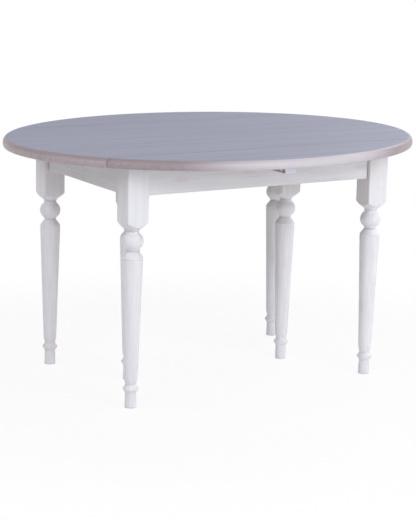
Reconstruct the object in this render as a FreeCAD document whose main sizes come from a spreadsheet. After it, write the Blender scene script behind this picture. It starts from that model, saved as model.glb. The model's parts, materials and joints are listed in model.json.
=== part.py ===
import FreeCAD, Part
import os
import re

import Sketcher

V = FreeCAD.Vector
Rotation = FreeCAD.Rotation
UP = V(0, 0, 1)
ALONG_X = Rotation(UP, V(1, 0, 0))
ALONG_Y = Rotation(UP, V(0, 1, 0))
HALF_ROOT = 0.5 ** 0.5
UPRIGHT_SHARE = 0.99

# Driving sizes in millimetres
SIZES = {
    "top_height": 750,
    "top_thick": 28,
    "top_long": 646.5,
    "top_deep": 519.5,
    "edge_out": 14,
    "leaf_seam": 317,
    "seam_gap": 2,
    "split_gap": 0.5,
    "leg_x": 420,
    "leg_y": 270,
    "centre_leg_x": 281,
    "block": 68,
    "block_arris": 3,
    "block_high": 189,
    "centre_block_drop": 86,
    "apron_high": 92,
    "apron_thick": 22,
    "apron_back": 13,
    "glide_r": 11,
    "glide_high": 1.5,
    "foot_tall": 44,
    "foot_r": 17.4,
    "ankle_r": 16.4,
    "ring_tall": 25,
    "ring_r": 23.4,
    "instep_r": 15.8,
    "cove_tall": 15,
    "taper_low_r": 19.8,
    "taper_high_r": 31.2,
    "score_tall": 4,
    "score_r": 30.2,
    "band_tall": 5,
    "shoulder_r": 31,
    "shoulder_tall": 19,
    "neck_tall": 3,
    "neck_r": 16.6,
    "collar_tall": 4,
    "collar_r": 19.6,
    "ball_tall": 44,
    "ball_base_r": 20.6,
    "ball_r": 31.8,
    "flare_tall": 8.5,
    "flare_r": 17.6,
    "throat_tall": 4.5,
    "throat_r": 19.8,
    "pommel_tall": 26,
    "pommel_r": 21.5,
    "pommel_corner_r": 49.5,
    "pommel_waste_r": 70,
    "beam_high": 42,
    "beam_drop": 2,
    "beam_thick": 32,
    "rail_wide": 30,
    "rail_end_gap": 8,
    "rail_drop": 10,
    "runner_wide": 24.5,
    "runner_high": 72,
    "runner_drop": 4,
    "runner_end_gap": 20,
    "runner_gap": 0.5,
    "tongue_drop": 34,
    "tongue_high": 12,
    "tongue_deep": 8,
    "tongue_clear": 0.3,
    "brace_long": 150,
    "brace_thick": 24,
    "brace_lap": 8,
    "brace_high": 70,
    "brace_drop": 4,
    "bolt_r": 4,
    "bolt_head_r": 7,
    "bolt_head_high": 5,
    "bolt_in_leg": 24,
    "bolt_tail": 12,
    "nut_high": 7,
    "rail_bolt_spread": 18,
    "rail_bolt_deep": 60,
    "screw_r": 2.5,
    "screw_head_r": 4.5,
    "screw_head_high": 3,
    "screw_in_top": 14,
    "hinge_inner": 130,
    "hinge_outer": 340,
    "hinge_long": 50,
    "hinge_plate": 2,
    "hinge_flap": 20,
    "hinge_relief": 4.5,
    "knuckle_r": 4,
    "knuckle_gap": 0.3,
    "knuckle_mid": 18,
    "pin_r": 2,
    "pin_clear": 0.05,
    "hinge_screw_r": 1.5,
    "hinge_screw_head_r": 3,
    "hinge_screw_head": 1.2,
    "hinge_screw_deep": 12,
    "hinge_screw_side": 16,
    "hinge_screw_back": 13,
    "dowel_r": 4,
    "dowel_spread": 350,
    "dowel_in": 22,
    "dowel_out": 16,
    "dowel_clear": 0.3,
    "bearer_wide": 36,
    "bearer_high": 29,
    "bearer_long": 124,
    "bearer_back": 4,
    "bearer_travel": 60,
    "bearer_clear": 0.3,
    "groove_drop": 10,
    "groove_high": 9,
    "groove_deep": 5,
    "guide_wide": 14,
    "guide_high": 22,
    "guide_back": 8,
    "guide_long": 34,
    "guide_screw_deep": 12,
    "mortise_side": 1,
    "pull_r": 3,
    "pull_back": 19,
    "pull_up": 9,
    "pull_out": 3,
}

# Heights and projections of the thumbnail edge, as shares of the board's thickness and overhang
EDGE_ROUND = (
    (0.0, 0.65), (0.05, 0.825), (0.19, 0.953), (0.378, 1.0), (0.54, 0.966),
    (0.69, 0.866), (0.855, 0.643), (0.9625, 0.342), (1.0, 0.0),
)

# Points of the turned curves, as shares of the radius step and of the height step
SHOULDER_BEND = (0.58, 0.5)
POMMEL_FOOT = (0.21, 0.16)
POMMEL_MIDDLE = (0.5, 0.41)
POMMEL_CROWN = (0.8, 0.71)
RING_TIP = (0.8, 0.38)
RUNNER_SCREWS = (0.15, 0.5, 0.85)

UNDERSIDE = "(top_height - top_thick)"
HINGE_HEIGHT = f"({UNDERSIDE} - knuckle_r - knuckle_gap)"
CENTRE_BLOCK_TOP = f"({UNDERSIDE} - centre_block_drop)"
APRON_LOW = f"({UNDERSIDE} - apron_high)"
RUNNER_TOP = f"({UNDERSIDE} - runner_drop)"
RUNNER_LOW = f"({RUNNER_TOP} - runner_high)"
TONGUE_LOW = f"({UNDERSIDE} - tongue_drop - tongue_high)"
BRACE_LOW = f"({UNDERSIDE} - brace_drop - brace_high)"
BEARER_LOW = f"({UNDERSIDE} - bearer_high)"
BEARER_TAIL = "(leaf_seam + bearer_back)"
BEARER_TIP = f"({BEARER_TAIL} + bearer_long)"
FRAME_X = "(leg_x + block / 2 - apron_back)"
FRAME_Y = "(leg_y + block / 2 - apron_back)"
FRAME_ROOM = f"({FRAME_Y} - apron_thick)"
RAIL_REACH = f"({FRAME_ROOM} - rail_end_gap)"
RUNNER_LONG = f"(2 * {FRAME_ROOM} - runner_end_gap)"
LEG_INNER_X = "(leg_x - block / 2)"
LEG_INNER_Y = "(leg_y - block / 2)"

doc = FreeCAD.newDocument("oval_table")
sheet = doc.addObject("Spreadsheet::Sheet", "Dims")
for row, (alias, value) in enumerate(SIZES.items(), 1):
    sheet.set(f"A{row}", alias)
    sheet.set(f"B{row}", str(value))
    sheet.setAlias(f"B{row}", alias)
doc.recompute()

nodes = []


def bound(text):
    """The expression with each size name pointed at the sheet."""
    return re.sub(r"[a-z]\w+", lambda word: "Dims." + word.group(), text)


def bind(obj, **sizes):
    for name, text in sizes.items():
        obj.setExpression(name, bound(text))
    return obj


def place(obj, at, turn=None, far=False):
    """Put an object at three bound coordinates; the far side is the near side turned half round."""
    turn = turn or Rotation()
    x, y, z = at
    if far:
        turn = Rotation(UP, 180) * turn
        x, y = f"-({x})", f"-({y})"
    obj.Placement = FreeCAD.Placement(V(), turn)
    for axis, text in zip("xyz", (x, y, z)):
        obj.setExpression(f"Placement.Base.{axis}", bound(text))
    return obj


def box(name, at, long, wide, high, turn=None, far=False):
    obj = bind(doc.addObject("Part::Box", name), Length=long, Width=wide, Height=high)
    return place(obj, at, turn, far)


def rod(name, at, radius, long, turn=None, far=False):
    obj = bind(doc.addObject("Part::Cylinder", name), Radius=radius, Height=long)
    return place(obj, at, turn, far)


def fuse(name, shapes):
    obj = doc.addObject("Part::MultiFuse", name)
    obj.Shapes = shapes
    return obj


def common(name, shapes):
    obj = doc.addObject("Part::MultiCommon", name)
    obj.Shapes = shapes
    return obj


def cut(name, base, tools):
    obj = doc.addObject("Part::Cut", name)
    obj.Base = base
    obj.Tool = tools[0] if len(tools) == 1 else fuse(name + "_waste", tools)
    return obj


def keep(obj):
    nodes.append(obj)
    return obj


def sides(far):
    """Names of the low-x and high-x sides as built; turning half round swaps them."""
    return ("right", "left") if far else ("left", "right")


def plane(body, role):
    return next(f for f in body.Origin.OriginFeatures if f.Role == role)


def size(alias):
    """A sheet size as its number and its text."""
    return SIZES[alias], alias


def between(start, end, share):
    """A size part of the way from one size to another."""
    value = start[0] + share * (end[0] - start[0])
    return value, f"(1 - {share}) * ({start[1]}) + {share} * ({end[1]})"


def ladder(start, aliases, sign):
    """Heights that each add a size to, or take it from, the one before."""
    levels = [start]
    for alias in aliases:
        value, text = levels[-1]
        levels.append((value + sign * SIZES[alias], f"{text} {'+' if sign > 0 else '-'} {alias}"))
    return levels


def turning():
    """Outlines of a leg's turned length and of the waste turned off its block, from the floor up."""
    steps = ("glide_high", "foot_tall", "ring_tall", "cove_tall")
    _, floor, ankle, instep, taper = ladder((0, "0"), steps, 1)
    under = (SIZES["top_height"] - SIZES["top_thick"], UNDERSIDE)
    steps = ("block_high", "throat_tall", "flare_tall", "ball_tall", "collar_tall", "neck_tall",
             "shoulder_tall", "band_tall", "score_tall")
    _, pommel, throat, ball, collar, neck, neck_low, shoulder, band, score = ladder(under, steps, -1)
    crown = (pommel[0] + SIZES["pommel_tall"], f"{pommel[1]} + pommel_tall")
    waste_low = between(throat, pommel, 0.5)
    bend = [between(a, b, share) for a, b, share in zip(
        (size("neck_r"), shoulder), (size("shoulder_r"), neck_low), SHOULDER_BEND)]
    tip_out, tip_low = RING_TIP
    curve = [
        [between(a, b, share) for a, b, share in zip(
            (size("pommel_r"), pommel), (size("pommel_corner_r"), crown), shares)]
        for shares in (POMMEL_FOOT, POMMEL_MIDDLE, POMMEL_CROWN)
    ]
    leg_line = (
        (size("foot_r"), floor, None),
        (size("ankle_r"), ankle, None),
        (between(size("ankle_r"), size("ring_r"), tip_out), between(ankle, instep, tip_low), None),
        (between(size("instep_r"), size("ring_r"), tip_out), between(instep, ankle, tip_low),
         (size("ring_r"), between(ankle, instep, 0.5))),
        (size("instep_r"), instep, None),
        (size("taper_low_r"), taper, None),
        (size("taper_high_r"), score, None),
        (size("score_r"), between(score, band, 0.5), None),
        (size("shoulder_r"), band, None),
        (size("shoulder_r"), shoulder, None),
        (size("neck_r"), neck_low, bend),
        (size("neck_r"), neck, None),
        (size("collar_r"), neck, None),
        (size("collar_r"), collar, None),
        (size("ball_base_r"), collar, None),
        (size("ball_base_r"), ball, (size("ball_r"), between(collar, ball, 0.5))),
        (size("flare_r"), throat, None),
        (size("throat_r"), throat, None),
        (size("throat_r"), between(pommel, crown, 0.1), None),
    )
    waste_line = (
        (size("pommel_waste_r"), crown, None),
        (size("pommel_corner_r"), crown, None),
        (*curve[1], curve[2]),
        (size("pommel_r"), pommel, curve[0]),
        (size("pommel_r"), waste_low, None),
        (size("pommel_waste_r"), waste_low, None),
    )
    return leg_line, waste_line, waste_low[1]


def fix_point(sketch, geo, end, radius, height):
    """Hold one point of a sketch at a bound radius and height."""
    for kind, (value, text) in (("DistanceX", radius), ("DistanceY", height)):
        index = sketch.addConstraint(Sketcher.Constraint(kind, -1, 1, geo, end, value))
        sketch.setExpression(f"Constraints[{index}]", bound(text))


def outline(body, name, steps, to_axis):
    """A closed sketch of lines and arcs in the body's upright plane."""
    sketch = body.newObject("Sketcher::SketchObject", name)
    sketch.AttachmentSupport = [(plane(body, "XZ_Plane"), "")]
    sketch.MapMode = "FlatFace"
    ends = [V(radius[0], height[0], 0) for radius, height, _ in steps]
    last = None
    for index in range(1, len(steps)):
        radius, height, bend = steps[index]
        first, second = 1, 2
        if bend:
            middle = V(bend[0][0], bend[1][0], 0)
            geo = sketch.addGeometry(Part.Arc(ends[index - 1], middle, ends[index]), False)
            if (middle - ends[index - 1]).cross(ends[index] - middle).z < 0:
                first, second = 2, 1
            spot = sketch.addGeometry(Part.Point(middle), True)
            fix_point(sketch, spot, 1, *bend)
            sketch.addConstraint(Sketcher.Constraint("PointOnObject", spot, 1, geo))
        else:
            geo = sketch.addGeometry(Part.LineSegment(ends[index - 1], ends[index]), False)
        if last is None:
            fix_point(sketch, geo, first, *steps[0][:2])
            start = (geo, first)
        else:
            sketch.addConstraint(Sketcher.Constraint("Coincident", *last, geo, first))
        fix_point(sketch, geo, second, radius, height)
        last = (geo, second)
    corners = [V(0, ends[-1].y, 0), V(0, ends[0].y, 0)] if to_axis else []
    chain = [ends[-1], *corners, ends[0]]
    closing = [sketch.addGeometry(Part.LineSegment(a, b), False) for a, b in zip(chain, chain[1:])]
    for geo in closing:
        sketch.addConstraint(Sketcher.Constraint("Coincident", *last, geo, 1))
        last = (geo, 2)
    sketch.addConstraint(Sketcher.Constraint("Coincident", *last, *start))
    if to_axis:
        sketch.addConstraint(Sketcher.Constraint("Horizontal", closing[0]))
        sketch.addConstraint(Sketcher.Constraint("PointOnObject", closing[1], 1, -2))
        sketch.addConstraint(Sketcher.Constraint("PointOnObject", closing[1], 2, -2))
        sketch.addConstraint(Sketcher.Constraint("Horizontal", closing[2]))
    return sketch


def square(body, name, side, height):
    """A square sketch about the body's axis, at a bound height."""
    sketch = body.newObject("Sketcher::SketchObject", name)
    sketch.AttachmentSupport = [(plane(body, "XY_Plane"), "")]
    sketch.MapMode = "FlatFace"
    sketch.setExpression("AttachmentOffset.Base.z", bound(height))
    half = SIZES[side] / 2
    ends = [V(-half, -half, 0), V(half, -half, 0), V(half, half, 0), V(-half, half, 0)]
    for index in range(4):
        sketch.addGeometry(Part.LineSegment(ends[index], ends[(index + 1) % 4]), False)
    for index in range(4):
        sketch.addConstraint(Sketcher.Constraint("Coincident", index, 2, (index + 1) % 4, 1))
        sketch.addConstraint(Sketcher.Constraint("Vertical" if index % 2 else "Horizontal", index))
    sketch.addConstraint(Sketcher.Constraint("Symmetric", 0, 1, 1, 2, -1, 1))
    for kind, geo in (("DistanceX", 0), ("DistanceY", 1)):
        index = sketch.addConstraint(Sketcher.Constraint(kind, geo, 1, geo, 2, SIZES[side]))
        sketch.setExpression(f"Constraints[{index}]", bound(side))
    return sketch


def upright(edge):
    """Whether an edge runs straight up."""
    low, high = (vertex.Point for vertex in edge.Vertexes)
    return abs((high - low).normalize().z) > UPRIGHT_SHARE


def leg(name, x, y, block_top):
    """A square block turned to a pommel, ball, long taper, ring and foot."""
    leg_line, waste_line, block_low = turning()
    body = doc.addObject("PartDesign::Body", name)
    pad = body.newObject("PartDesign::Pad", name + "_block")
    pad.Profile = square(body, name + "_square", "block", block_low)
    pad.setExpression("Length", bound(f"{block_top} - ({block_low})"))
    doc.recompute()
    arris = body.newObject("PartDesign::Fillet", name + "_arris")
    arris.Base = (pad, [f"Edge{n}" for n, edge in enumerate(pad.Shape.Edges, 1) if upright(edge)])
    arris.setExpression("Radius", bound("block_arris"))
    groove = body.newObject("PartDesign::Groove", name + "_pommel")
    groove.Profile = outline(body, name + "_waste", waste_line, False)
    groove.ReferenceAxis = (groove.Profile[0], ["V_Axis"])
    groove.Angle = 360
    turned = body.newObject("PartDesign::Revolution", name + "_turning")
    turned.Profile = outline(body, name + "_outline", leg_line, True)
    turned.ReferenceAxis = (turned.Profile[0], ["V_Axis"])
    turned.Angle = 360
    body.Tip = turned
    return place(body, (x, y, "0"))


def glides(name, spots):
    rods = [rod(f"{name}_{n}", (x, y, "0"), "glide_r", "glide_high") for n, (x, y) in enumerate(spots)]
    return keep(fuse(name, rods))


def ellipse(name, out, height):
    obj = doc.addObject("Part::Ellipse", name)
    bind(obj, MajorRadius=f"top_long + {out}", MinorRadius=f"top_deep + {out}")
    return place(obj, ("0", "0", height))


def stack(name, rings):
    """A smooth solid through a pile of ellipses."""
    obj = doc.addObject("Part::Loft", name)
    obj.Sections = [ellipse(f"{name}_{n}", out, height) for n, (out, height) in enumerate(rings)]
    obj.Solid = True
    return obj


def board():
    """The whole oval top before it is sawn into halves and leaves."""
    rings = [(f"{out} * edge_out", f"{UNDERSIDE} + {share} * top_thick") for share, out in EDGE_ROUND]
    return stack("oval", rings)


def strip(name, oval, low, high, far):
    """The part of the oval between two lines along the table."""
    reach = "(top_long + 2 * edge_out)"
    at = (f"-{reach}", f"-({high})", f"{UNDERSIDE} - top_thick")
    slab = box(name + "_slab", at, f"2 * {reach}", f"{high} - ({low})", "3 * top_thick", far=far)
    return common(name + "_plank", [oval, slab])


def hinge_set(name, far):
    """Knuckled flap hinges, as the fixed plates, the leaf plates, the pins and both sets of screws."""
    fixed, swinging, bores, pins = [], [], [], []
    screws = {"fixed": [], "leaf": []}
    ends = {"fixed": [], "leaf": []}
    plate_low = f"{UNDERSIDE} - hinge_plate"
    end_long = "((hinge_long - knuckle_mid) / 2 - knuckle_gap)"
    middles = [sign + spot for spot in ("hinge_inner", "hinge_outer") for sign in ("-", "")]
    for n, middle in enumerate(middles):
        start = f"{middle} - hinge_long / 2"
        tag = f"{name}_{n}"
        barrels = (
            (fixed, start, end_long),
            (swinging, f"{middle} - knuckle_mid / 2", "knuckle_mid"),
            (fixed, f"{middle} + knuckle_mid / 2 + knuckle_gap", end_long),
        )
        for part, (owner, x, long) in enumerate(barrels):
            at = (x, "-leaf_seam", HINGE_HEIGHT)
            owner.append(rod(f"{tag}_barrel_{part}", at, "knuckle_r", long, ALONG_X, far))
            y = "-leaf_seam + knuckle_r / 2" if owner is fixed else "-leaf_seam - hinge_relief"
            wide = "hinge_relief - knuckle_r / 2"
            owner.append(box(f"{tag}_tab_{part}", (x, y, plate_low), long, wide, "hinge_plate", far=far))
        wide = "hinge_flap - hinge_relief"
        at = (start, "-leaf_seam + hinge_relief", plate_low)
        fixed.append(box(tag + "_fixed", at, "hinge_long", wide, "hinge_plate", far=far))
        at = (start, "-leaf_seam - hinge_flap", plate_low)
        swinging.append(box(tag + "_leaf", at, "hinge_long", wide, "hinge_plate", far=far))
        at = (start, "-leaf_seam", HINGE_HEIGHT)
        bores.append(rod(tag + "_bore", at, "pin_r + pin_clear", "hinge_long", ALONG_X, far))
        pins.append(rod(tag + "_pin", at, "pin_r", "hinge_long", ALONG_X, far))
        for owner, toward in (("fixed", "+"), ("leaf", "-")):
            y = f"-leaf_seam {toward} hinge_screw_back"
            for side in ("-", "+"):
                x = f"{middle} {side} hinge_screw_side"
                spot = f"{tag}_{owner}_{'left' if side == '-' else 'right'}"
                deep = "hinge_plate + hinge_screw_deep"
                shank = rod(spot + "_shank", (x, y, plate_low), "hinge_screw_r", deep, far=far)
                at = (x, y, f"{plate_low} - hinge_screw_head")
                head = rod(spot + "_head", at, "hinge_screw_head_r", "hinge_screw_head", far=far)
                screws[owner] += [head, shank]
                ends[owner].append(shank)
    keep(cut(f"{name}_hinge_plates", fuse(name + "_fixed_plates", fixed), bores + ends["fixed"]))
    keep(fuse(f"{name}_hinge_pins", pins))
    keep(fuse(f"{name}_hinge_screws", screws["fixed"]))
    keep(cut(f"{name}_leaf_hinge_plates", fuse(name + "_swing_plates", swinging), bores + ends["leaf"]))
    keep(fuse(f"{name}_leaf_hinge_screws", screws["leaf"]))
    return ends


def runner(name, x, inward, far):
    """A sliding rail with a tongue, screwed under its own half of the top."""
    start = f"-{FRAME_ROOM}"
    bar = box(name + "_bar", (x, start, RUNNER_LOW), "runner_wide", RUNNER_LONG, "runner_high", far=far)
    pad_long = f"{FRAME_ROOM} - split_gap"
    pad = box(name + "_pad", (x, start, RUNNER_TOP), "runner_wide", pad_long, "runner_drop", far=far)
    side = f"{x} - tongue_deep" if inward else f"{x} + runner_wide"
    at = (side, start, TONGUE_LOW)
    tongue = box(name + "_tongue", at, "tongue_deep", RUNNER_LONG, "tongue_high", far=far)
    return fuse(name + "_blank", [bar, pad, tongue])


def runner_screws(name, lefts, far):
    """Long screws up through each runner into the top, as whole screws and their shanks."""
    shanks, heads = [], []
    for n, x in enumerate(lefts):
        for part, share in enumerate(RUNNER_SCREWS):
            y = f"-{share} * {FRAME_ROOM}"
            spot = f"{name}_runner_screw_{n}_{part}"
            middle = f"{x} + runner_wide / 2"
            long = "runner_high + runner_drop + screw_in_top"
            shanks.append(rod(spot + "_shank", (middle, y, RUNNER_LOW), "screw_r", long, far=far))
            at = (middle, y, f"{RUNNER_LOW} - screw_head_high")
            heads.append(rod(spot + "_head", at, "screw_head_r", "screw_head_high", far=far))
    keep(fuse(f"{name}_runner_screws", heads + shanks))
    return shanks


def corner(name, right, far):
    """A mitred brace across one corner, with the bolt that draws the leg into it."""
    sign = "" if right else "-"
    corner_x = f"{sign}{LEG_INNER_X}"
    corner_y = f"-{LEG_INNER_Y}"
    x = f"{corner_x} - {HALF_ROOT} * (brace_long / 2 {'-' if right else '+'} brace_lap)"
    y = f"{corner_y} {'-' if right else '+'} {HALF_ROOT} * brace_long / 2 - {HALF_ROOT} * brace_lap"
    turn = Rotation(UP, 45 if right else -45)
    bar = box(name + "_bar", (x, y, BRACE_LOW), "brace_long", "brace_thick", "brace_high", turn, far)
    inner_x = f"({FRAME_X} - apron_thick)"
    room = box(name + "_room", (f"-{inner_x}", f"-{FRAME_ROOM}", BRACE_LOW), f"2 * {inner_x}",
               FRAME_ROOM, "brace_high", far=far)
    post = box(name + "_post", (f"{sign}leg_x - block / 2", "-leg_y - block / 2", BRACE_LOW),
               "block", "block", "brace_high", far=far)
    long = "brace_thick - brace_lap + bolt_tail"
    middle = f"{BRACE_LOW} + brace_high / 2"
    step = f"{HALF_ROOT} * ({long})"
    at = (f"{corner_x} {'-' if right else '+'} {step}", f"{corner_y} + {step}", middle)
    toward = Rotation(UP, V(1 if right else -1, -1, 0))
    bolt = rod(name + "_bolt", at, "bolt_r", f"{long} + bolt_in_leg", toward, far)
    step = f"{HALF_ROOT} * (brace_thick - brace_lap + nut_high)"
    at = (f"{corner_x} {'-' if right else '+'} {step}", f"{corner_y} + {step}", middle)
    nut = bind(doc.addObject("Part::Prism", name + "_nut"), Circumradius="bolt_head_r", Height="nut_high")
    place(nut, at, toward, far)
    return cut(name + "_brace", common(name + "_mitred", [bar, room]), [post, bolt]), bolt, nut


def half(name, oval, far, dowels):
    """One sliding half of the table with its legs, aprons, runners and hinges."""
    plank = strip(name + "_top", oval, "split_gap / 2", "leaf_seam - seam_gap / 2", far)
    leaf_plank = strip(name + "_leaf", oval, "leaf_seam + seam_gap / 2", "top_deep + 2 * edge_out", far)
    hinge_holes = hinge_set(name, far)
    rail_edge = "centre_leg_x + rail_wide / 2 + runner_gap"
    inner_edge = "centre_leg_x - rail_wide / 2 - runner_gap - runner_wide"
    if far:
        lefts = [f"-({rail_edge}) - runner_wide", rail_edge]
    else:
        lefts = [f"-({inner_edge}) - runner_wide", inner_edge]
    runner_shanks = runner_screws(name, lefts, far)
    for spot, x, inward in zip(sides(far), lefts, (not far, far)):
        blank = runner(f"{name}_runner_{spot}", x, inward, far)
        keep(cut(f"{name}_runner_{spot}", blank, runner_shanks))
    keep(cut(f"{name}_top", plank, hinge_holes["fixed"] + runner_shanks + dowels))
    braces, bolts = [], []
    y = "leg_y" if far else "-leg_y"
    for spot, right in zip(sides(far), (False, True)):
        brace, bolt, nut = corner(f"{name}_{spot}", right, far)
        braces.append(brace)
        bolts += [bolt, cut(f"{name}_{spot}_ring", nut, [bolt])]
        x = "leg_x" if spot == "right" else "-leg_x"
        keep(cut(f"{name}_leg_{spot}", leg(f"{name}_{spot}_post", x, y, UNDERSIDE), [bolt]))
    keep(fuse(f"{name}_corner_braces", braces))
    keep(fuse(f"{name}_leg_bolts", bolts))
    glides(f"{name}_glides", [(side + "leg_x", y) for side in ("-", "")])
    aprons(name, far)
    leaf(name, leaf_plank, hinge_holes["leaf"], far)


def aprons(name, far):
    """The long apron, notched for the leaf's bearer, and the two half-length end aprons."""
    blank = box(f"{name}_long_blank", (f"-{LEG_INNER_X}", f"-{FRAME_Y}", APRON_LOW),
                f"2 * {LEG_INNER_X}", "apron_thick", "apron_high", far=far)
    mouth = "(bearer_wide / 2 + mortise_side)"
    notch = box(f"{name}_notch", (f"-{mouth}", f"-{FRAME_Y}", f"{BEARER_LOW} - bearer_clear"),
                f"2 * {mouth}", "apron_thick", "bearer_high + bearer_clear", far=far)
    keep(cut(f"{name}_apron_long", blank, [notch]))
    long = f"{LEG_INNER_Y} - split_gap / 2"
    for spot, x in zip(sides(far), (f"-{FRAME_X}", f"{FRAME_X} - apron_thick")):
        at = (x, f"-{LEG_INNER_Y}", APRON_LOW)
        keep(box(f"{name}_apron_{spot}", at, "apron_thick", long, "apron_high", far=far))


def leaf(name, plank, holes, far):
    """A drop leaf with the guides and the captive sliding bearer under it."""
    shanks, heads, guides = [], [], []
    edge = "(bearer_wide / 2 + bearer_clear)"
    bite = "(groove_deep - bearer_clear)"
    groove_low = f"({UNDERSIDE} - groove_drop - groove_high)"
    guide_low = f"({UNDERSIDE} - guide_high)"
    guide_end = "(leaf_seam + guide_back + guide_long)"
    for spot, x, lip in (
        ("left", f"-{edge} - guide_wide", f"-{edge}"),
        ("right", edge, f"{edge} - {bite}"),
    ):
        tag = f"{name}_guide_{spot}"
        at = (x, f"-{guide_end}", guide_low)
        cheek = box(tag + "_cheek", at, "guide_wide", "guide_long", "guide_high", far=far)
        at = (lip, f"-{guide_end}", f"{groove_low} + bearer_clear")
        tongue_high = "groove_high - 2 * bearer_clear"
        tongue = box(tag + "_tongue", at, bite, "guide_long", tongue_high, far=far)
        middle = (f"{x} + guide_wide / 2", f"-{guide_end} + guide_long / 2")
        long = "guide_high + guide_screw_deep"
        shank = rod(tag + "_shank", (*middle, guide_low), "screw_r", long, far=far)
        at = (*middle, f"{guide_low} - hinge_screw_head")
        heads.append(rod(tag + "_head", at, "screw_head_r", "hinge_screw_head", far=far))
        shanks.append(shank)
        guides.append(cut(tag, fuse(tag + "_blank", [cheek, tongue]), [shank]))
    keep(cut(f"{name}_leaf", plank, holes + shanks))
    keep(fuse(f"{name}_bearer_guides", guides))
    keep(fuse(f"{name}_guide_screws", heads + shanks))
    at = ("-bearer_wide / 2", f"-{BEARER_TIP}", BEARER_LOW)
    bar = box(f"{name}_bar", at, "bearer_wide", "bearer_long", "bearer_high - bearer_clear", far=far)
    reach = f"({guide_end} + bearer_travel + bearer_clear)"
    long = "guide_long + bearer_travel + 2 * bearer_clear"
    grooves = [
        box(f"{name}_groove_{n}", (x, f"-{reach}", groove_low), "groove_deep", long, "groove_high", far=far)
        for n, x in enumerate(("-bearer_wide / 2", "bearer_wide / 2 - groove_deep"))
    ]
    at = ("-bearer_wide / 2 - pull_out", f"-{BEARER_TIP} + pull_back", f"{BEARER_LOW} + pull_up")
    pull = keep(rod(f"{name}_bearer_pull", at, "pull_r", "bearer_wide + 2 * pull_out", ALONG_X, far))
    keep(cut(f"{name}_bearer", bar, grooves + [pull]))


def carriage():
    """The middle of the table, which stays put: two legs, a beam and two grooved rails."""
    bolts = []
    rail_high = "(centre_block_drop - rail_drop)"
    for spot, sign in (("left", "-"), ("right", "")):
        middle = sign + "centre_leg_x"
        at = (f"{middle} - rail_wide / 2", f"-{RAIL_REACH}", CENTRE_BLOCK_TOP)
        bar = box(f"rail_{spot}_bar", at, "rail_wide", f"2 * {RAIL_REACH}", rail_high)
        deep = "(tongue_deep + tongue_clear)"
        grooves = [
            box(f"rail_{spot}_groove_{n}", (x, f"-{RAIL_REACH}", f"{TONGUE_LOW} - tongue_clear"), deep,
                f"2 * {RAIL_REACH}", "tongue_high + 2 * tongue_clear")
            for n, x in enumerate((f"{middle} - rail_wide / 2", f"{middle} + rail_wide / 2 - {deep}"))
        ]
        shanks = []
        for n, y in enumerate(("-rail_bolt_spread", "rail_bolt_spread")):
            at = (middle, y, f"{CENTRE_BLOCK_TOP} - rail_bolt_deep")
            shanks.append(rod(f"rail_{spot}_shank_{n}", at, "bolt_r", f"{rail_high} + rail_bolt_deep"))
            at = (middle, y, f"{UNDERSIDE} - rail_drop")
            bolts.append(rod(f"rail_{spot}_head_{n}", at, "bolt_head_r", "bolt_head_high"))
        bolts += shanks
        keep(cut(f"centre_rail_{spot}", bar, grooves + shanks))
        keep(cut(f"centre_leg_{spot}", leg(f"centre_{spot}_post", middle, "0", CENTRE_BLOCK_TOP), shanks))
    keep(fuse("centre_rail_bolts", bolts))
    inner = "(centre_leg_x - block / 2)"
    at = (f"-{inner}", "-beam_thick / 2", f"{CENTRE_BLOCK_TOP} - beam_drop - beam_high")
    keep(box("centre_beam", at, f"2 * {inner}", "beam_thick", "beam_high"))
    glides("centre_glides", [("-centre_leg_x", "0"), ("centre_leg_x", "0")])


carriage()
oval_top = board()
dowel_rods, dowel_holes = [], []
for number, spot in enumerate(("-dowel_spread", "0", "dowel_spread")):
    place_at = (spot, "-dowel_in", f"{UNDERSIDE} + top_thick / 2")
    dowel_rods.append(rod(f"dowel_{number}", place_at, "dowel_r", "dowel_in + dowel_out", ALONG_Y))
    hole_long = "dowel_in + dowel_out + dowel_clear"
    dowel_holes.append(rod(f"dowel_hole_{number}", place_at, "dowel_r + dowel_clear", hole_long, ALONG_Y))
keep(fuse("split_dowels", dowel_rods))
half("near", oval_top, False, dowel_rods)
half("far", oval_top, True, dowel_holes)
doc.recompute()

# Every object must have computed, and every piece must be a sound solid
for obj in doc.Objects:
    if "Invalid" in obj.State or "Error" in obj.State:
        raise RuntimeError(f"{obj.Label} did not compute")
os.makedirs("parts", exist_ok=True)
for obj in nodes:
    if obj.Shape.isNull() or not obj.Shape.isValid() or not obj.Shape.Solids:
        raise RuntimeError(f"{obj.Label} is not a sound solid")
    obj.Shape.exportStep(f"parts/{obj.Label}.step")
print(len(nodes), "pieces")
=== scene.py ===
import json
import math

import bmesh
import bpy
from mathutils import Matrix, Vector

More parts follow.
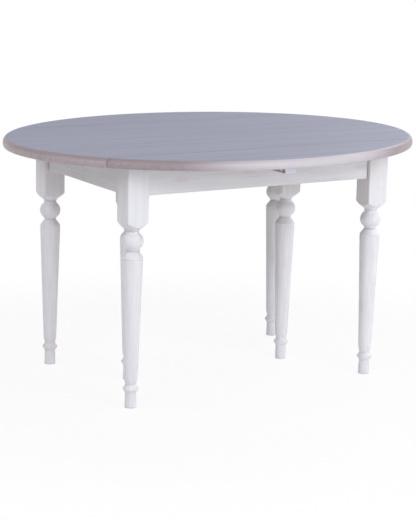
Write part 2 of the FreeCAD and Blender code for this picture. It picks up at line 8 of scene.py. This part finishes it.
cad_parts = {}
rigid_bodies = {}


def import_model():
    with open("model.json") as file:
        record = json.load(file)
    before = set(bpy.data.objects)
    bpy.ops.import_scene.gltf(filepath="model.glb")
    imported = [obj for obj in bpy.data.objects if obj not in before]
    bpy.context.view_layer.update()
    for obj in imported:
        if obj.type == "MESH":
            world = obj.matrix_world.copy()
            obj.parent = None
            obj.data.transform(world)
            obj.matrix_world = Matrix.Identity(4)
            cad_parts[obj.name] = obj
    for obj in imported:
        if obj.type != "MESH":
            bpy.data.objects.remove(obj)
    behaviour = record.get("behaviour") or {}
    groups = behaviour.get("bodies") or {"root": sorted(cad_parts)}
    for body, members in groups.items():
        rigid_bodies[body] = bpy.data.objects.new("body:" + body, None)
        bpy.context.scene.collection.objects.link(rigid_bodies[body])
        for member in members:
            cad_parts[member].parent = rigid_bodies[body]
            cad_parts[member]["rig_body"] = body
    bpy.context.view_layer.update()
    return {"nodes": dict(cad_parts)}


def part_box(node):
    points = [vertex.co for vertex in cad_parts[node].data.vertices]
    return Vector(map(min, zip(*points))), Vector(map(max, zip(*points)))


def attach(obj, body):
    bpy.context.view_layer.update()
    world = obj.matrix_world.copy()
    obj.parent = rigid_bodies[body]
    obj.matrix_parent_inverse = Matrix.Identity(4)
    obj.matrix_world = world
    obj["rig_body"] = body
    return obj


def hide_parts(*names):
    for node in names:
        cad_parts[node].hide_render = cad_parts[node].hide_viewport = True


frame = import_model()
nodes = frame["nodes"]


def srgb(red, green, blue):
    """A display colour, 0 to 255, as linear light."""
    shares = (value / 255 for value in (red, green, blue))
    return (*(s / 12.92 if s <= 0.04045 else ((s + 0.055) / 1.055) ** 2.4 for s in shares), 1.0)


def darker(colour, share):
    """A colour that keeps only a share of its light."""
    return (*(share * part for part in colour[:3]), 1.0)


# Camera, in metres, degrees, millimetres of lens and shares of the picture
CAMERA_DISTANCE = 5.3761
CAMERA_HEIGHT = 1.4912
CAMERA_TURN = 31.118
CAMERA_PITCH = 13.329
CAMERA_ROLL = 1.335
CAMERA_LENS = 121.25
CAMERA_SHIFT = (0.0004, 0.0803)

# Lamps, each aimed at a height above the middle of the floor
COOL_WHITE = (0.94, 0.97, 1.0)
PALE_WHITE = (0.97, 0.98, 1.0)
WARM_WHITE = (1.0, 0.985, 0.99)
LAMPS = (
    dict(name="key", place=(0.6, -3.6, 2.1), aim=0.5, width=3.0, watts=78, tint=COOL_WHITE),
    dict(name="side", place=(-3.2, 0.6, 2.7), aim=0.4, width=1.8, watts=23, tint=WARM_WHITE),
    dict(name="front", place=(-3.6, -2.4, 3.0), aim=0.4, width=2.0, watts=38, tint=WARM_WHITE),
    dict(name="right", place=(4.0, -1.4, 2.6), aim=0.4, width=2.0, watts=40, tint=PALE_WHITE),
    dict(name="back", place=(2.6, 1.2, 2.6), aim=0.5, width=1.8, watts=26, tint=WARM_WHITE),
)

# Floor and surround: the floor's shadow fades out between two distances from the middle
WHITE = (1, 1, 1, 1)
FLOOR_REACH = 30
FLOOR_TONES = (srgb(250, 250, 250), srgb(246, 246, 246))
FLOOR_ROUGHNESS = 0.9
SHADOW_FADE = (0.8, 1.6)
SHADOW_CLEARED = (0.88, 1.0)
FILL_STRENGTH = 0.3
FILL_TINT = (1.0, 0.97, 0.985, 1)

# Heights on the top, and distances from its middle line or from a seam
TOP_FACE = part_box("near_top")[1].z
TOP_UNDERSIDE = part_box("near_top")[0].z
LEAF_SEAM = -(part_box("near_top")[0].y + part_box("near_leaf")[1].y) / 2
FACE_PAINT_RIM = (TOP_FACE - 0.0016, TOP_FACE - 0.0003)
MOULD_SLOPE = (TOP_FACE - 0.012, TOP_FACE - 0.005)
STAIN_RIM = (TOP_UNDERSIDE + 0.0008, TOP_UNDERSIDE + 0.0002)
# Where the painted shade of the leaves' edge glaze begins
LEAF_SHADE_START = (LEAF_SEAM, LEAF_SEAM + 0.001)
# Distances from the middle line where a painted highlight lies along the near and far rim
RIM_HIGHLIGHT_BAND = (0.43, 0.535)
SLOPE_WANDER = 0.003
SEAM_WEAR = (0.0035, 0.001)
SPLIT_WEAR = (0.0016, 0.0005)

# The painted tip of each bearer, as a distance from the middle line, and how its paint ends
BEARER_TIP = -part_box("near_bearer")[0].y
TIP_PAINT_LINE = 0.001
TIP_PAINT_WANDER = 0.002

# Knots that show faintly through the paint of the long apron, and at the middle place a painted shadow of
# the bearer, as places along and up it
APRON_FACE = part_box("near_apron_long")[0].y
KNOT_AND_SHADOW_SPOTS = {"near_apron_long": ((-0.274, 0.670), (-0.043, 0.682), (0.359, 0.669))}
SPOT_STRETCH = (0.4, 1, 1)
SPOT_RIM = (0.018, 0.006)
SPOT_RAGGED = 0.008

# Squared timbers whose arrises are softened, and how far
SQUARED = ("apron", "bearer", "beam", "rail", "runner", "braces")
SQUARED_SLOTS = ("frame_paint", "bearer_wood", "bare_wood")
ARRIS = 0.0012
ARRIS_STEPS = 3
ARRIS_ROUND = 0.5
WELD = 0.00001
FLAT_TURN = math.radians(1)
SHARP_TURN = math.radians(60)
SHORT_EDGE = 0.008

# The axes across a grain, for each way that it can run
ALONG_X = (0, 1, 1)
ALONG_Y = (1, 0, 1)
UPRIGHT = (1, 1, 0)

# Colours of the white frame
FRAME_BRUSHED = (srgb(232, 232, 236), srgb(224, 224, 229))
FRAME_CLOUD = srgb(218, 211, 210)
# Grime and painted shade in the grooves and where parts meet
FRAME_GROOVE_GRIME_AND_SHADE = srgb(172, 156, 155)
FRAME_RUBBED = srgb(202, 190, 183)
# Faint knots through the paint, also used for the bearer's painted shadow on the long apron
FRAME_KNOT_AND_SHADOW = srgb(196, 176, 172)

# Colours of the top
FACE_STREAKED = (srgb(145, 148, 168), srgb(153, 156, 176))
FACE_BRUSHED = srgb(135, 139, 159)
# The edge glaze of the middle boards with painted light, and of the leaves with painted shade
BOARD_GLAZE_LIT = (srgb(177, 165, 170), srgb(165, 153, 158))
LEAF_GLAZE_SHADED = (srgb(160, 148, 154), srgb(148, 136, 142))
# Painted shade on the upper slope of the moulded edge
SLOPE_PAINTED_SHADE = srgb(148, 133, 134)
# A pale painted highlight along the near and far rim
RIM_PAINTED_HIGHLIGHT = srgb(212, 207, 213)
SEAM_DIRT = srgb(112, 102, 106)
UNDERSIDE_STAIN = (srgb(184, 172, 171), srgb(168, 155, 154))

# Colours of timber, metal, plastic and enamel
PINE = (srgb(208, 178, 136), srgb(178, 142, 98))
STAINED = (srgb(186, 168, 167), srgb(166, 147, 147))
TIP_PAINT = srgb(238, 239, 252)
BRASS = (srgb(196, 168, 110), srgb(150, 120, 72))
STEEL = (srgb(186, 186, 184), srgb(140, 138, 132))
PLASTIC = (srgb(216, 210, 202), srgb(176, 168, 158))
ENAMEL = (srgb(246, 246, 248), srgb(236, 234, 232))

# Settings of the textures
MIDDLE = (0.3, 0.7)
NOISE_ROUGHNESS = 0.55
SEED_STEP = 3.0
RING_COUNT = 7.0
EDGE_TURN = (1.0, 0.88)
EDGE_SAMPLES = 4
GROOVE_SHADE = (0.9, 0.3)
GROOVE_SAMPLES = 6

# Sockets of the mix node that blend two colours
MIX_SHARE = 0
MIX_FIRST = 6
MIX_SECOND = 7
MIX_RESULT = 2


class Steps:
    """Small steps that add nodes to a tree, most of them giving an output socket."""

    def __init__(self, tree):
        self.tree = tree

    def feed(self, socket, value):
        """Link a socket to another, or set it to a fixed value."""
        if isinstance(value, bpy.types.NodeSocket):
            self.tree.links.new(value, socket)
        else:
            socket.default_value = value

    def node(self, kind, inputs=None, **settings):
        """Add a node with its settings and inputs."""
        made = self.tree.nodes.new(kind)
        for key, value in settings.items():
            setattr(made, key, value)
        for key, value in (inputs or {}).items():
            self.feed(made.inputs[key], value)
        return made

    def span(self, value, low, high, start=0.0, end=1.0):
        """The value between low and high, eased, as a share between start and end."""
        limits = {"Value": value, "From Min": low, "From Max": high, "To Min": start, "To Max": end}
        made = self.node("ShaderNodeMapRange", limits, interpolation_type="SMOOTHSTEP")
        return made.outputs["Result"]

    def math(self, operation, first, second=0.0):
        """A sum on one or two numbers."""
        return self.node("ShaderNodeMath", {0: first, 1: second}, operation=operation).outputs[0]

    def mix(self, share, first, second):
        """A share of the second colour over the first."""
        inputs = {MIX_SHARE: share, MIX_FIRST: first, MIX_SECOND: second}
        return self.node("ShaderNodeMix", inputs, data_type="RGBA").outputs[MIX_RESULT]

    def shown(self):
        """1 for rays that show a surface, straight, mirrored or through glass, and 0 for other rays."""
        path = self.node("ShaderNodeLightPath").outputs
        straight_or_mirrored = self.math("MAXIMUM", path["Is Camera Ray"], path["Is Glossy Ray"])
        return self.math("MAXIMUM", straight_or_mirrored, path["Is Transmission Ray"])


class Finish(Steps):
    """A procedural material with one shader."""

    def __init__(self, name, metallic=0.0):
        self.material = bpy.data.materials.new(name)
        self.material.use_nodes = True
        super().__init__(self.material.node_tree)
        self.shader = self.tree.nodes["Principled BSDF"]
        self.shade("Metallic", metallic)
        self.at = self.node("ShaderNodeTexCoord").outputs["Object"]

    def shade(self, name, value):
        """Feed one input of the shader."""
        self.feed(self.shader.inputs[name], value)

    def noise(self, scale, detail=4, twist=0.0, seed=0.0):
        """Cloudy variation, with a scale for each axis."""
        place = {"Vector": self.at, "Scale": scale, "Location": (seed,) * 3}
        spread = {
            "Vector": self.node("ShaderNodeMapping", place).outputs[0],
            "Scale": 1,
            "Detail": detail,
            "Roughness": NOISE_ROUGHNESS,
            "Distortion": twist,
        }
        return self.node("ShaderNodeTexNoise", spread).outputs["Fac"]

    def vector(self, operation, first, second):
        """A sum on two vectors that gives a vector."""
        made = self.node("ShaderNodeVectorMath", {0: first, 1: second}, operation=operation)
        return made.outputs["Vector"]

    def measure(self, operation, first, second=(0, 0, 0)):
        """A sum on one or two vectors that gives a number."""
        made = self.node("ShaderNodeVectorMath", {0: first, 1: second}, operation=operation)
        return made.outputs["Value"]

    def axis(self, name):
        """Where a point lies along X, Y or Z, with the table at rest."""
        return self.node("ShaderNodeSeparateXYZ", {0: self.at}).outputs[name]

    def arris(self, radius):
        """How near a point is to an edge, from the turn of a rounded normal."""
        soft = self.node("ShaderNodeBevel", {"Radius": radius}, samples=EDGE_SAMPLES).outputs[0]
        true = self.node("ShaderNodeNewGeometry").outputs["Normal"]
        return self.span(self.measure("DOT_PRODUCT", soft, true), *EDGE_TURN)

    def hollow_shade(self, distance, share):
        """How shaded a point is in a groove or corner, from ambient occlusion, up to a share: a mask for
        grime and painted shade.
        """
        made = self.node("ShaderNodeAmbientOcclusion", {"Distance": distance}, samples=GROOVE_SAMPLES)
        return self.span(made.outputs["AO"], *GROOVE_SHADE, end=share)

    def bump(self, height, depth):
        """Raise the surface by a texture, as far as a depth."""
        made = self.node("ShaderNodeBump", {"Height": height, "Distance": depth, "Strength": 1.0})
        self.shade("Normal", made.outputs[0])

    def done(self, colour, roughness):
        """The finished material, with its colour and roughness."""
        self.shade("Base Color", colour)
        self.shade("Roughness", roughness)
        return self.material


def grain(across, fine, along):
    """Texture scales that are fine across the grain and long along it."""
    return tuple(fine if share else along for share in across)


def ragged_spot(made, place, brush):
    """A ragged oval round a place, longer along the board."""
    away = made.vector("MULTIPLY", made.vector("SUBTRACT", made.at, place), SPOT_STRETCH)
    ragged = made.math("MULTIPLY", brush, SPOT_RAGGED)
    return made.span(made.math("ADD", made.measure("LENGTH", away), ragged), *SPOT_RIM, end=0.22)


def frame_paint(name, across, seed):
    """White brushed paint that thins on the arrises, with grime and painted shade in the grooves and
    where parts meet.
    """
    made = Finish(name + "_paint")
    brush = made.noise(grain(across, fine=160, along=5), detail=5, seed=seed)
    cloud = made.noise(scale=(7, 7, 7), detail=3, seed=seed)
    colour = made.mix(made.span(brush, *MIDDLE), *FRAME_BRUSHED)
    colour = made.mix(made.span(cloud, low=0.52, high=0.8, end=0.5), colour, FRAME_CLOUD)
    # grime and painted shade in the grooves and where parts meet
    colour = made.mix(made.hollow_shade(distance=0.01, share=0.75), colour, FRAME_GROOVE_GRIME_AND_SHADE)
    patches = made.span(cloud, low=0.4, high=0.62, end=0.5)
    colour = made.mix(made.math("MULTIPLY", made.arris(radius=0.002), patches), colour, FRAME_RUBBED)
    # faint knots, and a painted shadow of the bearer on the long apron
    for x, z in KNOT_AND_SHADOW_SPOTS.get(name, ()):
        colour = made.mix(ragged_spot(made, (x, APRON_FACE, z), brush), colour, FRAME_KNOT_AND_SHADOW)
    made.bump(brush, depth=0.0003)
    return made.done(colour, made.span(brush, low=0.2, high=0.8, start=0.42, end=0.58))


def edge_glaze(made, brush, height, across):
    """Taupe glaze, with painted shade on the leaves' edge and the moulding's slope, painted light on the
    middle boards' edge and a pale painted highlight along the near and far rim.
    """
    brushed = made.span(brush, *MIDDLE)
    board = made.mix(brushed, *BOARD_GLAZE_LIT)
    leaf = made.mix(brushed, *LEAF_GLAZE_SHADED)
    # painted light on the middle boards' edge and painted shade on the leaves' edge
    glaze = made.mix(made.span(across, *LEAF_SHADE_START), board, leaf)
    cloud = made.noise(scale=(5, 9, 9), detail=3, seed=9.0)
    wandering = made.math("ADD", height, made.math("MULTIPLY", cloud, SLOPE_WANDER))
    # painted shade on the upper slope of the moulding
    glaze = made.mix(made.span(wandering, *MOULD_SLOPE, end=0.8), glaze, SLOPE_PAINTED_SHADE)
    # a painted highlight along the near and far rim
    return made.mix(made.span(across, *RIM_HIGHLIGHT_BAND, end=0.72), glaze, RIM_PAINTED_HIGHLIGHT)


def seam_wear(made, across):
    """Lines along the two leaf seams and the middle split."""
    from_seam = made.math("ABSOLUTE", made.math("SUBTRACT", across, LEAF_SEAM))
    seam = made.span(from_seam, *SEAM_WEAR, end=0.18)
    split = made.span(across, *SPLIT_WEAR, end=0.2)
    return made.math("MAXIMUM", seam, split)


def top_paint():
    """Blue-grey brushed paint on the face, a taupe glaze with painted shade and a painted highlight on
    the moulded edge, stained timber below.
    """
    made = Finish("top_paint")
    brush = made.noise(grain(ALONG_X, fine=120, along=2.2), detail=6, twist=0.3)
    streak = made.noise(grain(ALONG_X, fine=28, along=0.9), detail=3, seed=4.0)
    height = made.axis("Z")
    across = made.math("ABSOLUTE", made.axis("Y"))
    face = made.mix(made.span(streak, *MIDDLE), *FACE_STREAKED)
    face = made.mix(made.span(brush, low=0.45, high=0.75, end=0.5), face, FACE_BRUSHED)
    painted = made.span(height, *FACE_PAINT_RIM)
    colour = made.mix(painted, edge_glaze(made, brush, height, across), face)
    colour = made.mix(seam_wear(made, across), colour, SEAM_DIRT)
    stain = made.mix(made.span(brush, *MIDDLE), *UNDERSIDE_STAIN)
    colour = made.mix(made.span(height, *STAIN_RIM), colour, stain)
    made.bump(made.math("ADD", brush, streak), depth=0.00015)
    made.shade("Specular IOR Level", 0.38)
    made.shade("Coat Weight", made.span(painted, low=0.0, high=1.0, start=0.15, end=0.0))
    made.shade("Coat Roughness", 0.3)
    sheen = made.span(painted, low=0.0, high=1.0, start=0.34, end=0.48)
    dulled = made.span(brush, low=0.2, high=0.8, end=0.14)
    return made.done(colour, made.math("ADD", sheen, dulled))


def wood(name, across, tones, seed, painted_tip=None):
    """Sawn timber with growth rings, pores, a planed sheen and, on the bearers, a painted tip."""
    made = Finish(name)
    light, dark = tones
    rings = made.noise(grain(across, fine=55, along=1.6), detail=2, twist=1.2, seed=seed)
    bands = made.math("FRACT", made.math("MULTIPLY", rings, RING_COUNT))
    pores = made.noise(grain(across, fine=700, along=14), detail=2, seed=seed)
    colour = made.mix(made.span(bands, low=0.1, high=0.95), light, dark)
    colour = made.mix(made.span(pores, low=0.55, high=0.75, end=0.5), colour, darker(dark, share=0.6))
    # painted shade and dust in corners and where parts meet
    colour = made.mix(made.hollow_shade(distance=0.015, share=0.4), colour, darker(dark, share=0.3))
    if painted_tip:
        wander = made.math("MULTIPLY", rings, TIP_PAINT_WANDER)
        reach = made.math("ADD", made.math("ABSOLUTE", made.axis("Y")), wander)
        colour = made.mix(made.span(reach, painted_tip - TIP_PAINT_LINE, painted_tip), colour, TIP_PAINT)
    made.bump(made.math("ADD", bands, pores), depth=0.00012)
    return made.done(colour, made.span(pores, *MIDDLE, start=0.5, end=0.68))


def metal(name, tones, polished, dull):
    """Plated metal with fine scratches and dull, darker patches."""
    made = Finish(name, metallic=1.0)
    scratch = made.noise(scale=(240, 2600, 2600), detail=2)
    patch = made.noise(scale=(90, 90, 90), detail=4)
    made.bump(scratch, depth=0.00002)
    colour = made.mix(made.span(patch, low=0.45, high=0.75), *tones)
    return made.done(colour, made.span(patch, *MIDDLE, start=polished, end=dull))


def glide_plastic():
    """Moulded and finely stippled plastic, scuffed in patches."""
    made = Finish("glide")
    stipple = made.noise(scale=(900, 900, 900), detail=2)
    scuff = made.noise(scale=(120, 120, 40), detail=4)
    made.bump(stipple, depth=0.00005)
    colour = made.mix(made.span(scuff, low=0.4, high=0.7), *PLASTIC)
    return made.done(colour, made.span(scuff, *MIDDLE, start=0.45, end=0.65))


def pull_enamel():
    """Glossy white enamel, a little yellowed in patches."""
    made = Finish("pull_enamel")
    patch = made.noise(scale=(300, 300, 300), detail=3)
    made.bump(patch, depth=0.00003)
    colour = made.mix(made.span(patch, low=0.4, high=0.7), *ENAMEL)
    return made.done(colour, made.span(patch, *MIDDLE, start=0.16, end=0.26))


# Finishes that several nodes share
SHARED = {
    "top_paint": top_paint(),
    "hinge_metal": metal("hinge_metal", BRASS, polished=0.3, dull=0.5),
    "fixing_steel": metal("fixing_steel", STEEL, polished=0.28, dull=0.48),
    "glide": glide_plastic(),
    "bearer_wood": wood("bearer_wood", ALONG_Y, STAINED, seed=5.0, painted_tip=BEARER_TIP),
    "pull": pull_enamel(),
}


def grain_of(name):
    """The axes across a timber's grain, which runs up the legs and along X or Y elsewhere."""
    if "_leg_" in name:
        return UPRIGHT
    if name.endswith("long") or name == "centre_beam":
        return ALONG_X
    return ALONG_Y


def finish_for(name, slot):
    """The material of a node: a new one for each of the frame's timbers, else a shared one."""
    seed = SEED_STEP * len(bpy.data.materials)
    if slot == "frame_paint":
        return frame_paint(name, grain_of(name), seed)
    if slot == "bare_wood":
        return wood(name + "_wood", grain_of(name), PINE, seed)
    return SHARED["pull" if name.endswith("pull") else slot]


def ease(name, finish):
    """A copy of a squared timber with its arrises softened, which stands in for the node."""
    work = bmesh.new()
    work.from_mesh(nodes[name].data)
    bmesh.ops.remove_doubles(work, verts=work.verts, dist=WELD)
    bmesh.ops.dissolve_limit(work, angle_limit=FLAT_TURN, verts=work.verts, edges=work.edges)
    sharp = [
        edge for edge in work.edges
        if edge.is_convex and edge.calc_face_angle(0) > SHARP_TURN and edge.calc_length() > SHORT_EDGE
    ]
    bmesh.ops.bevel(
        work,
        geom=sharp,
        offset=ARRIS,
        segments=ARRIS_STEPS,
        profile=ARRIS_ROUND,
        affect="EDGES",
        clamp_overlap=True,
    )
    work.verts.index_update()
    mesh = bpy.data.meshes.new(name + "_eased")
    mesh.from_pydata([v.co for v in work.verts], [], [[v.index for v in f.verts] for f in work.faces])
    work.free()
    mesh.materials.append(finish)
    made = bpy.data.objects.new(name + "_eased", mesh)
    bpy.context.scene.collection.objects.link(made)
    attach(made, nodes[name]["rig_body"])
    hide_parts(name)


def dress_nodes():
    """Give each node its material, and the squared timbers their softened copies."""
    for name, piece in sorted(nodes.items()):
        slot = piece.material_slots[0].material.name.split(".")[0]
        finish = finish_for(name, slot)
        piece.material_slots[0].material = finish
        squared = any(word in name for word in SQUARED) and not name.endswith("pull")
        if squared and slot in SQUARED_SLOTS:
            ease(name, finish)


def aim_camera():
    """A camera in front and to the left, a little above the table and slightly rolled."""
    turn, pitch, roll = (math.radians(a) for a in (CAMERA_TURN, CAMERA_PITCH, CAMERA_ROLL))
    ahead = Vector((math.sin(turn), math.cos(turn), 0))
    right = Vector((math.cos(turn), -math.sin(turn), 0))
    view = ahead * math.cos(pitch) - Vector((0, 0, math.sin(pitch)))
    up = ahead * math.sin(pitch) + Vector((0, 0, math.cos(pitch)))
    rolled_right = right * math.cos(roll) + up * math.sin(roll)
    rolled_up = up * math.cos(roll) - right * math.sin(roll)
    made = bpy.data.objects.new("camera", bpy.data.cameras.new("camera"))
    made.data.lens = CAMERA_LENS
    made.data.shift_x, made.data.shift_y = CAMERA_SHIFT
    place = Matrix((rolled_right, rolled_up, -view)).transposed().to_4x4()
    place.translation = -ahead * CAMERA_DISTANCE + Vector((0, 0, CAMERA_HEIGHT))
    made.matrix_world = place
    bpy.context.scene.collection.objects.link(made)
    bpy.context.scene.camera = made


def soft_light(name, place, aim, width, watts, tint):
    """A round lamp that faces a point above the middle of the floor."""
    data = bpy.data.lights.new(name, "AREA")
    data.shape = "DISK"
    data.size = width
    data.energy = watts
    data.color = tint
    made = bpy.data.objects.new(name, data)
    made.location = place
    made.rotation_euler = (Vector((0, 0, aim)) - Vector(place)).to_track_quat("-Z", "Y").to_euler()
    bpy.context.scene.collection.objects.link(made)


def floor_paint():
    """Pale, faintly mottled paint that keeps a shadow under the table and is plain white further out."""
    made = Finish("floor")
    mottle = made.noise(scale=(3, 3, 3), detail=3)
    made.done(made.mix(mottle, *FLOOR_TONES), FLOOR_ROUGHNESS)
    near, far = SHADOW_CLEARED
    cleared = made.span(made.measure("LENGTH", made.at), *SHADOW_FADE, start=near, end=far)
    share = made.math("MULTIPLY", made.shown(), cleared)
    plain = made.node("ShaderNodeEmission", {"Color": WHITE, "Strength": 1.0})
    blend = made.node("ShaderNodeMixShader", {0: share, 1: made.shader.outputs[0], 2: plain.outputs[0]})
    made.feed(made.tree.nodes["Material Output"].inputs["Surface"], blend.outputs[0])
    return made.material


def lay_floor():
    """A wide level floor."""
    corners = ((-1, -1), (1, -1), (1, 1), (-1, 1))
    mesh = bpy.data.meshes.new("floor")
    mesh.from_pydata([(x * FLOOR_REACH, y * FLOOR_REACH, 0) for x, y in corners], [], [(0, 1, 2, 3)])
    mesh.materials.append(floor_paint())
    floor = bpy.data.objects.new("floor", mesh)
    bpy.context.scene.collection.objects.link(floor)


def surround():
    """A soft even fill light that is plain white where it is seen."""
    world = bpy.data.worlds.new("surround")
    world.use_nodes = True
    made = Steps(world.node_tree)
    light = world.node_tree.nodes["Background"]
    shown = made.shown()
    made.feed(light.inputs["Strength"], made.span(shown, low=0.0, high=1.0, start=FILL_STRENGTH))
    made.feed(light.inputs["Color"], made.mix(shown, FILL_TINT, WHITE))
    bpy.context.scene.world = world


dress_nodes()
aim_camera()
lay_floor()
surround()
for lamp in LAMPS:
    soft_light(**lamp)
bpy.context.scene.view_settings.view_transform = "Standard"
